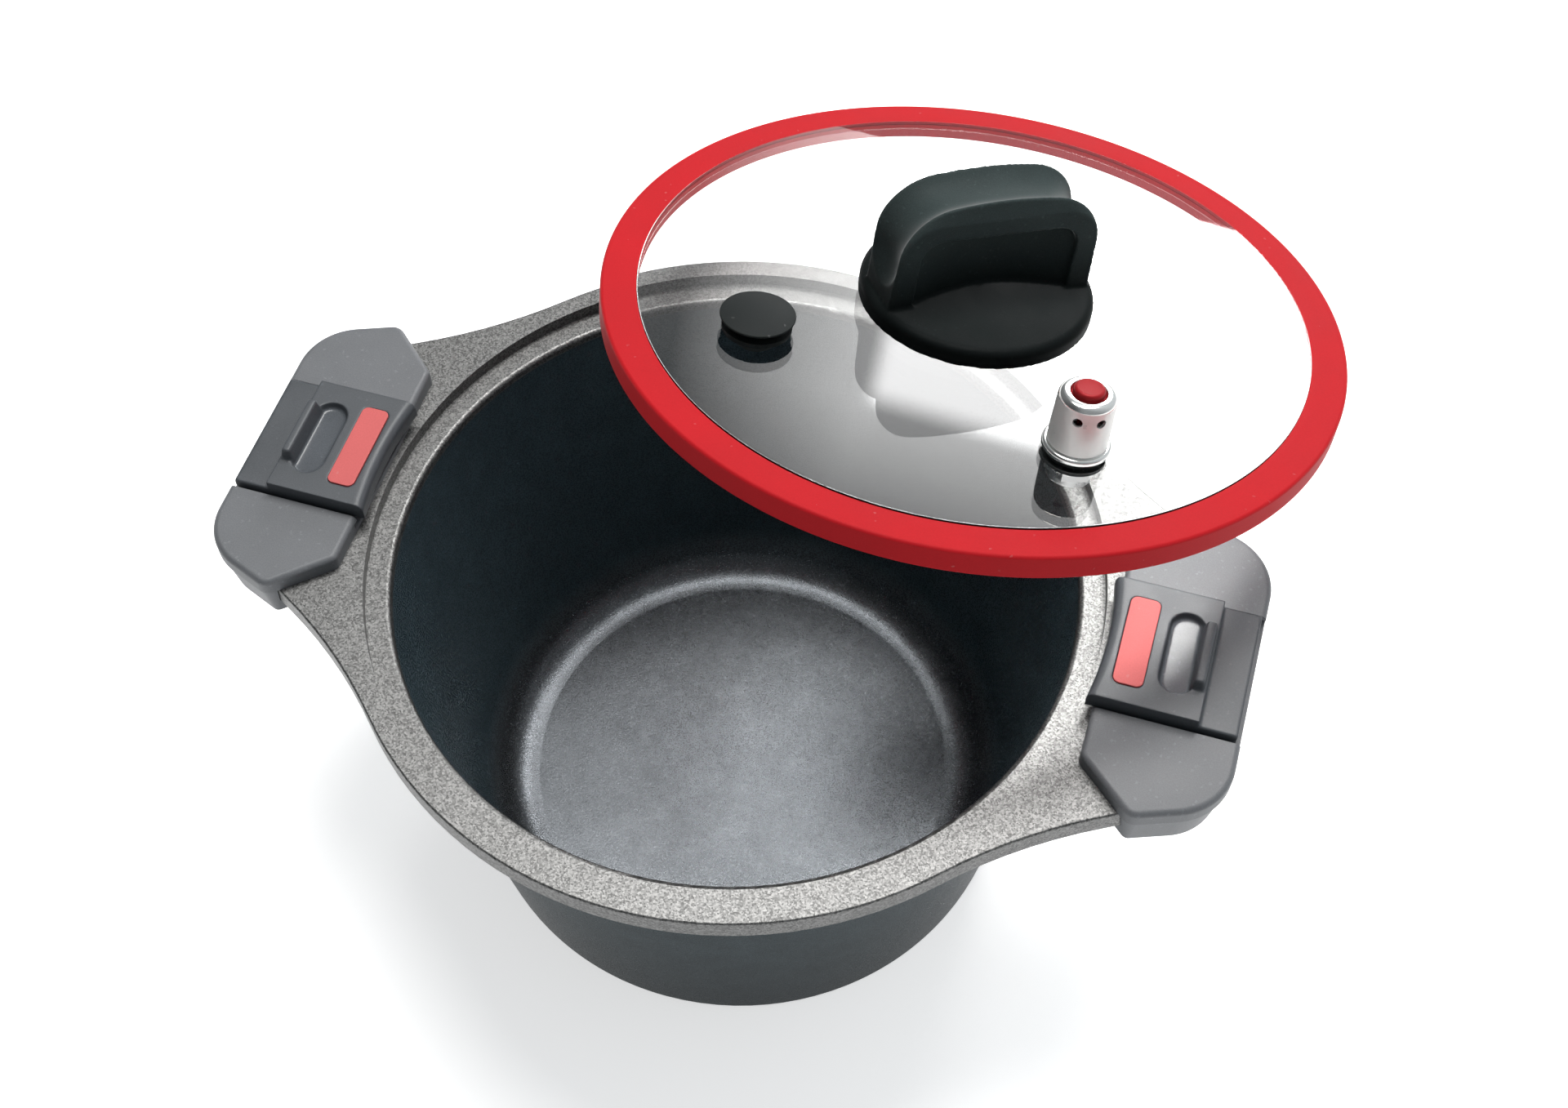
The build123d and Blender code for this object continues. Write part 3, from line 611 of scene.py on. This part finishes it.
def soft_copy(node, name, grain, passes):
    """A copy of a CAD solid in an even skin, with its edges softened as a mould softens them."""
    piece = joined_copy(node, name)
    skin = piece.modifiers.new("even_skin", "REMESH")
    skin.mode = "VOXEL"
    skin.voxel_size = grain
    skin.use_smooth_shade = True
    soft = piece.modifiers.new("soft_edges", "SMOOTH")
    soft.factor = 0.5
    soft.iterations = passes
    for modifier in ("even_skin", "soft_edges"):
        bpy.ops.object.modifier_apply(modifier=modifier)
    return piece


def body_of(node):
    for body, members in frame["record"]["behaviour"]["bodies"].items():
        if node in members:
            return body
    raise RuntimeError(f"no body holds {node}")


def seat(piece, place, node, material, slack=0.0004):
    """Set a new piece in its place, where it stands for a CAD node."""
    piece.matrix_world = place
    select_only(piece)
    bpy.ops.object.transform_apply(location=True, rotation=True, scale=True)
    piece.data.materials.clear()
    piece.data.materials.append(material)
    corners = [Vector(corner) for corner in piece.bound_box]
    for axis in range(3):
        low, high = min(c[axis] for c in corners), max(c[axis] for c in corners)
        if max(abs(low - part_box(node)[0][axis]), abs(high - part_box(node)[1][axis])) > slack:
            raise RuntimeError(f"{piece.name} isn't where {node} is")
    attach(piece, body_of(node))
    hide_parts(node)


def lid_place(distance=0.0, angle=0.0):
    """A place on the lid as it is held over the pot, from the middle of its ring's top face."""
    lid = Matrix.Translation(LID_MIDDLE) @ Matrix.Rotation(math.radians(LID_BEARING), 4, "Z")
    lid = lid @ Matrix.Rotation(math.radians(LID_TILT), 4, "Y")
    lid = lid @ Matrix.Rotation(math.radians(LID_TURN), 4, "Z")
    return lid @ Matrix.Rotation(math.radians(angle), 4, "Z") @ Matrix.Translation((distance, 0, 0))


def stage_piece(context, name, size, place, turn):
    """A plain sheet of the stage."""
    bpy.ops.object.select_all(action="DESELECT")
    bpy.ops.mesh.primitive_plane_add(size=1, location=place, rotation=turn)
    sheet = context.object
    sheet.name = name
    sheet.scale = (*size, 1)
    return sheet


def panel_glow(settings):
    """Soft panel: it fades upwards and to the left, and has one bright patch low on the right."""
    material = bpy.data.materials.new("panel_glow")
    material.use_nodes = True
    tree = material.node_tree
    tree.nodes.remove(tree.nodes["Principled BSDF"])
    place = add(tree, "NewGeometry").outputs["Position"]
    axes = add(tree, "SeparateXYZ", {"Vector": place}).outputs
    fade_heights = (1.12, 1.28)
    fade_sides = (-0.48, -0.2)
    patch_sides = (-0.205, -0.165)
    patch_heights = (1.09, 1.14)
    high = remap(tree, axes["Z"], *fade_heights, 1.0, 0.45)
    aside = remap(tree, axes["X"], *fade_sides, 0.12, 1.0)
    even = calculate(tree, "MULTIPLY", calculate(tree, "MULTIPLY", high, aside), settings.panel_strength)
    patch = calculate(tree, "MULTIPLY", remap(tree, axes["X"], *patch_sides, 0, 1, smooth=True),
                      remap(tree, axes["Z"], *patch_heights, 1, 0, smooth=True))
    glow = add(tree, "Emission", {"Strength": between(tree, patch, even, settings.panel_patch)})
    tree.links.new(glow.outputs[0], tree.nodes["Material Output"].inputs["Surface"])
    return material


def soft_box(scene, name, place, size, power):
    """Round soft box aimed at the middle of the rim."""
    light = bpy.data.lights.new(name, "AREA")
    light.shape = "DISK"
    light.size = size
    light.energy = power
    light.color = LAMP_COLOUR
    lamp = bpy.data.objects.new(name, light)
    lamp.location = place
    lamp.rotation_euler = (Vector((0, 0, RIM_HEIGHT)) - lamp.location).to_track_quat("-Z", "Y").to_euler()
    scene.collection.objects.link(lamp)


def room_light(settings):
    """Soft light from all round, weaker on the camera's side and on the left; the camera sees it even."""
    world = bpy.data.worlds.new("studio")
    world.use_nodes = True
    tree = world.node_tree
    axes = add(tree, "SeparateXYZ", {"Vector": add(tree, "TexCoord").outputs["Generated"]}).outputs
    front_to_back = (-0.7, 0.7)
    left_to_middle = (-0.6, 0.1)
    level = remap(tree, axes["Y"], *front_to_back, settings.sky_front, settings.sky_back, smooth=True)
    aside = remap(tree, axes["X"], *left_to_middle, settings.sky_left, 1.0, smooth=True)
    level = calculate(tree, "MULTIPLY", level, aside)
    level = between(tree, add(tree, "LightPath").outputs["Is Camera Ray"], level, 1.0)
    background = tree.nodes["Background"]
    background.inputs["Color"].default_value = (*settings.sky_colour, 1)
    feed(tree, background.inputs["Strength"], level)
    return world


def photo_camera(scene, settings):
    """Place the camera where the fit to the photograph puts it."""
    target = Vector((0, 0, RIM_HEIGHT))
    level = math.cos(settings.camera_elevation) * settings.camera_distance
    place = target + Vector((
        math.sin(settings.camera_azimuth) * level,
        -math.cos(settings.camera_azimuth) * level,
        math.sin(settings.camera_elevation) * settings.camera_distance))
    ahead = (target - place).normalized()
    right = ahead.cross(Vector((0, 0, 1))).normalized()
    up = right.cross(ahead)
    cosine, sine = math.cos(settings.camera_roll), math.sin(settings.camera_roll)
    rolled_right = cosine * right + sine * up
    rolled_up = cosine * up - sine * right
    data = bpy.data.cameras.new("photo_camera")
    data.sensor_width = SENSOR_WIDTH
    data.lens = settings.lens
    data.shift_x, data.shift_y = settings.shift
    data.clip_start = 0.01
    camera = bpy.data.objects.new("photo_camera", data)
    scene.collection.objects.link(camera)
    turn = Matrix((rolled_right, rolled_up, -ahead)).transposed().to_4x4()
    camera.matrix_world = Matrix.Translation(place) @ turn
    scene.camera = camera


class COOKER_OT_stage(bpy.types.Operator):
    """Set the camera, floor and lights"""

    bl_idname = "cooker.stage"
    bl_label = "Stage"

    def execute(self, context):
        settings = stage_settings()
        scene = context.scene
        scene.view_settings.view_transform = "Standard"
        photo_camera(scene, settings)
        floor = stage_piece(context, "floor", FLOOR_SIZE, (0, 0, 0), (0, 0, 0))
        paper, _, shader, _ = new_material("floor_paper", roughness=0.9, gloss=0.1)
        shader.inputs["Base Color"].default_value = (*settings.floor_colour, 1)
        shader.inputs["Emission Color"].default_value = (1, 1, 1, 1)
        shader.inputs["Emission Strength"].default_value = settings.floor_glow
        floor.data.materials.append(paper)

        panel = stage_piece(context, "back_panel", PANEL_SIZE, PANEL_PLACE, (math.radians(90), 0, 0))
        panel.data.materials.append(panel_glow(settings))
        panel.visible_camera = False

        scene.world = room_light(settings)
        soft_box(scene, "top_box", settings.top_place, settings.top_size, settings.top_power)
        soft_box(scene, "side_box", settings.side_place, settings.side_size, settings.side_power)
        return {"FINISHED"}


class COOKER_OT_pot(bpy.types.Operator):
    """Coat the cast pot"""

    bl_idname = "cooker.pot"
    bl_label = "Pot"

    def execute(self, context):
        dress(cast_coating(), "pot_body")
        return {"FINISHED"}


class COOKER_OT_handles(bpy.types.Operator):
    """Finish the handle shells"""

    bl_idname = "cooker.handles"
    bl_label = "Handles"

    def execute(self, context):
        plastic = moulded_plastic("handle_plastic", finish_settings().handle, roughness=0.5)
        for side in ("left", "right"):
            dress(plastic, f"{side}_handle_upper", f"{side}_handle_lower")
        return {"FINISHED"}


class COOKER_OT_fittings(bpy.types.Operator):
    """Finish the steel fittings and the valve's return spring"""

    bl_idname = "cooker.fittings"
    bl_label = "Steel fittings"

    def execute(self, context):
        steel = turned_metal("plain_steel", STEEL_COLOUR, roughness=0.28)
        dress(steel, "left_handle_screws", "right_handle_screws", "left_latch_stop_pin",
              "right_latch_stop_pin", "knob_washer", "knob_screw", "valve_nut", "valve_ball")
        spring = joined_copy("valve_spring", "return_spring")
        smooth_skin(spring, angle=40)
        seat(spring, Matrix.Identity(4), "valve_spring", steel)
        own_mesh(spring)
        return {"FINISHED"}


class COOKER_OT_latches(bpy.types.Operator):
    """Model the latch slides with softened edges and finish their inlays"""

    bl_idname = "cooker.latches"
    bl_label = "Latches"

    def execute(self, context):
        colours = finish_settings()
        plastic = moulded_plastic("latch_plastic", colours.latch, roughness=0.44)
        polish_recess_and_paint_sheen(plastic)
        coral = soft_rubber("inlay_coral", colours.inlay, roughness=0.5, dust=0.1, gloss=0.25)
        for side in ("left", "right"):
            slide = soft_copy(f"{side}_latch_slide", f"{side}_latch", shape_settings().latch_grain, passes=3)
            seat(slide, Matrix.Identity(4), f"{side}_latch_slide", plastic)
            dress(coral, f"{side}_latch_inlay")
        return {"FINISHED"}


class COOKER_OT_ring(bpy.types.Operator):
    """Turn the sealing ring"""

    bl_idname = "cooker.ring"
    bl_label = "Sealing ring"

    def execute(self, context):
        sizes = shape_settings()
        outer = sizes.ring_radius
        groove = outer - sizes.ring_wall
        inner = groove - sizes.ring_lip
        bottom = -sizes.ring_height
        glass_top = -sizes.ring_top_lip
        glass_bottom = glass_top - sizes.glass_thickness
        bead_top = glass_bottom + sizes.glass_rise + BEAD_OVERLAP
        bead_back = inner + BEAD_WIDTH
        points = [
            (inner, 0), (outer, 0), (outer, bottom), (inner, bottom), (inner, bead_top),
            (bead_back, bead_top), (bead_back, glass_bottom), (groove, glass_bottom),
            (groove, glass_top), (inner, glass_top), (inner, 0)]
        rounds = [
            ((inner, 0), RING_TOP_CORNER), ((outer, 0), RING_OUTER_CORNER),
            ((outer, bottom), RING_OUTER_CORNER), ((inner, bottom), RING_BOTTOM_CORNER)]
        ring = turn_on_lathe("sealing_ring", points, rounds, steps=256)
        smooth_skin(ring, angle=40)
        silicone = soft_rubber("ring_silicone", finish_settings().ring, roughness=0.52, dust=0.12, gloss=0.06)
        seat(ring, lid_place(), "lid_ring", silicone)
        return {"FINISHED"}


class COOKER_OT_glass(bpy.types.Operator):
    """Turn the lid's pane and drill it"""

    bl_idname = "cooker.glass"
    bl_label = "Glass"

    def execute(self, context):
        sizes = shape_settings()
        edge = sizes.ring_radius - sizes.ring_wall + GLASS_SINK
        step = edge - sizes.ring_lip + STEP_INSET
        lower_step = step + LOWER_STEP_INSET
        rim_top = GLASS_SINK - sizes.ring_top_lip
        rim_bottom = rim_top - sizes.glass_thickness - 2 * GLASS_SINK
        top = sizes.glass_rise - sizes.ring_top_lip
        bottom = top - sizes.glass_thickness
        points = [
            (0, top), (step, top), (step, rim_top), (edge, rim_top), (edge, rim_bottom),
            (lower_step, rim_bottom), (lower_step, bottom), (0, bottom)]
        rounds = [((step, top), STEP_CORNER)]
        pane = turn_on_lathe("glass_pane", points, rounds, steps=192)
        holes = ((0, 0, KNOB_HOLE), (*VALVE_PLACE, VALVE_HOLE), (*PLUG_PLACE, PLUG_HOLE))
        for distance, angle, radius in holes:
            bearing = math.radians(angle)
            place = (distance * math.cos(bearing), distance * math.sin(bearing), 0)
            drill(pane, place, turn=(0, 0, 0), radius=radius, length=0.03)
        smooth_skin(pane, angle=30)
        seat(pane, lid_place(), "lid_glass", clear_glass(), slack=0.001)
        pane.visible_shadow = False
        return {"FINISHED"}


class COOKER_OT_knob(bpy.types.Operator):
    """Model the knob with softened edges"""

    bl_idname = "cooker.knob"
    bl_label = "Knob"

    def execute(self, context):
        colour = finish_settings().knob
        satin = moulded_plastic("knob_plastic", colour, roughness=0.45, gloss=0.03, grain=0.0004)
        # Painted shade and light: the knob's colour is multiplied by 0.25 at its foot and by 3 at its top.
        paint_light_and_shade_by_height(satin, low=0.006, high=0.03, foot=0.25, top=3.0)
        knob = soft_copy("knob", "knob_grip", shape_settings().knob_grain, passes=2)
        seat(knob, Matrix.Identity(4), "knob", satin, slack=0.0008)
        knob.visible_glossy = False
        return {"FINISHED"}


class COOKER_OT_rubber(bpy.types.Operator):
    """Finish the gaskets and the safety plug"""

    bl_idname = "cooker.rubber"
    bl_label = "Gaskets and plug"

    def execute(self, context):
        colour = finish_settings().rubber
        rubber = soft_rubber("black_rubber", colour, roughness=0.6, dust=0.1, gloss=0.15)
        dress(rubber, "knob_gasket", "knob_under_gasket", "valve_gasket", "valve_under_gasket",
              "safety_plug")
        return {"FINISHED"}


class COOKER_OT_valve(bpy.types.Operator):
    """Turn the steam valve's cap and button, and finish its body"""

    bl_idname = "cooker.valve"
    bl_label = "Steam valve"

    def execute(self, context):
        colours = finish_settings()
        sizes = shape_settings()
        foot = FLANGE_TOP
        head = foot + sizes.valve_height
        chrome = turned_metal("valve_chrome", CHROME_COLOUR, roughness=0.3, metallic=0.35)
        polish_ends(chrome, foot + POLISHED_FOOT, head - POLISHED_HEAD)
        dress(chrome, "valve_body")
        under = head - CAP_TOP
        wide = sizes.valve_radius
        narrow = sizes.valve_radius - CAP_TAPER
        hole = sizes.button_radius + BUTTON_GAP
        points = [
            (wide, foot), (narrow, head), (hole, head), (hole, under), (narrow - CAP_WALL, under),
            (wide - CAP_WALL, foot), (wide, foot)]
        rounds = [((narrow, head), CAP_CORNER), ((hole, head), BUTTON_HOLE_CORNER)]
        cap = turn_on_lathe("valve_hood", points, rounds, steps=96)
        for angle in VENT_ANGLES:
            turn = (math.radians(90), 0, math.radians(angle + 90))
            drill(cap, (0, 0, foot + VENT_HEIGHT), turn, radius=sizes.vent_radius, length=0.05)
        smooth_skin(cap, angle=35)
        valve = lid_place(*VALVE_PLACE)
        turned_back = Matrix.Rotation(math.radians(-VALVE_PLACE[1]), 4, "Z")
        seat(cap, valve @ turned_back, "valve_cap", chrome)

        crown = head + BUTTON_RISE
        dish = crown - DISH_DEPTH
        flange_top = under - BUTTON_FLANGE_GAP
        flange_bottom = flange_top - BUTTON_FLANGE_THICKNESS
        side = sizes.button_radius
        flange = side + BUTTON_FLANGE_WIDTH
        points = [
            (0, dish), (side - DISH_FLOOR_INSET, dish), (side - DISH_LIP_INSET, crown), (side, crown),
            (side, flange_top), (flange, flange_top), (flange, flange_bottom),
            (BUTTON_STEM_RADIUS, flange_bottom), (BUTTON_STEM_RADIUS, STEM_TIP), (0, STEM_TIP)]
        rounds = [((side, crown), BUTTON_CORNER)]
        button = turn_on_lathe("press_button", points, rounds, steps=72)
        smooth_skin(button, angle=35)
        red = turned_metal("button_red", colours.button, roughness=0.45, metallic=0.2, gloss=0.15)
        seat(button, valve, "valve_button", red)
        return {"FINISHED"}


class COOKER_PT_panel(bpy.types.Panel):
    """Steps that dress the cooker"""

    bl_idname = "COOKER_PT_panel"
    bl_label = "Pressure cooker"
    bl_space_type = "VIEW_3D"
    bl_region_type = "UI"
    bl_category = "Cooker"

    def draw(self, context):
        for step in STEPS:
            self.layout.operator(step.bl_idname)


STEPS = (
    COOKER_OT_stage, COOKER_OT_pot, COOKER_OT_handles, COOKER_OT_fittings, COOKER_OT_latches, COOKER_OT_ring,
    COOKER_OT_glass, COOKER_OT_knob, COOKER_OT_rubber, COOKER_OT_valve)
CLASSES = (StageSettings, ShapeSettings, FinishSettings, *STEPS, COOKER_PT_panel)


def register():
    for cls in CLASSES:
        bpy.utils.register_class(cls)
    bpy.types.Scene.cooker_stage = bpy.props.PointerProperty(type=StageSettings)
    bpy.types.Scene.cooker_shape = bpy.props.PointerProperty(type=ShapeSettings)
    bpy.types.Scene.cooker_finish = bpy.props.PointerProperty(type=FinishSettings)


def unregister():
    del bpy.types.Scene.cooker_stage
    del bpy.types.Scene.cooker_shape
    del bpy.types.Scene.cooker_finish
    for cls in reversed(CLASSES):
        bpy.utils.unregister_class(cls)


def main():
    register()
    for step in STEPS:
        group, name = step.bl_idname.split(".")
        getattr(getattr(bpy.ops, group), name)()


if __name__ == "__main__":
    main()
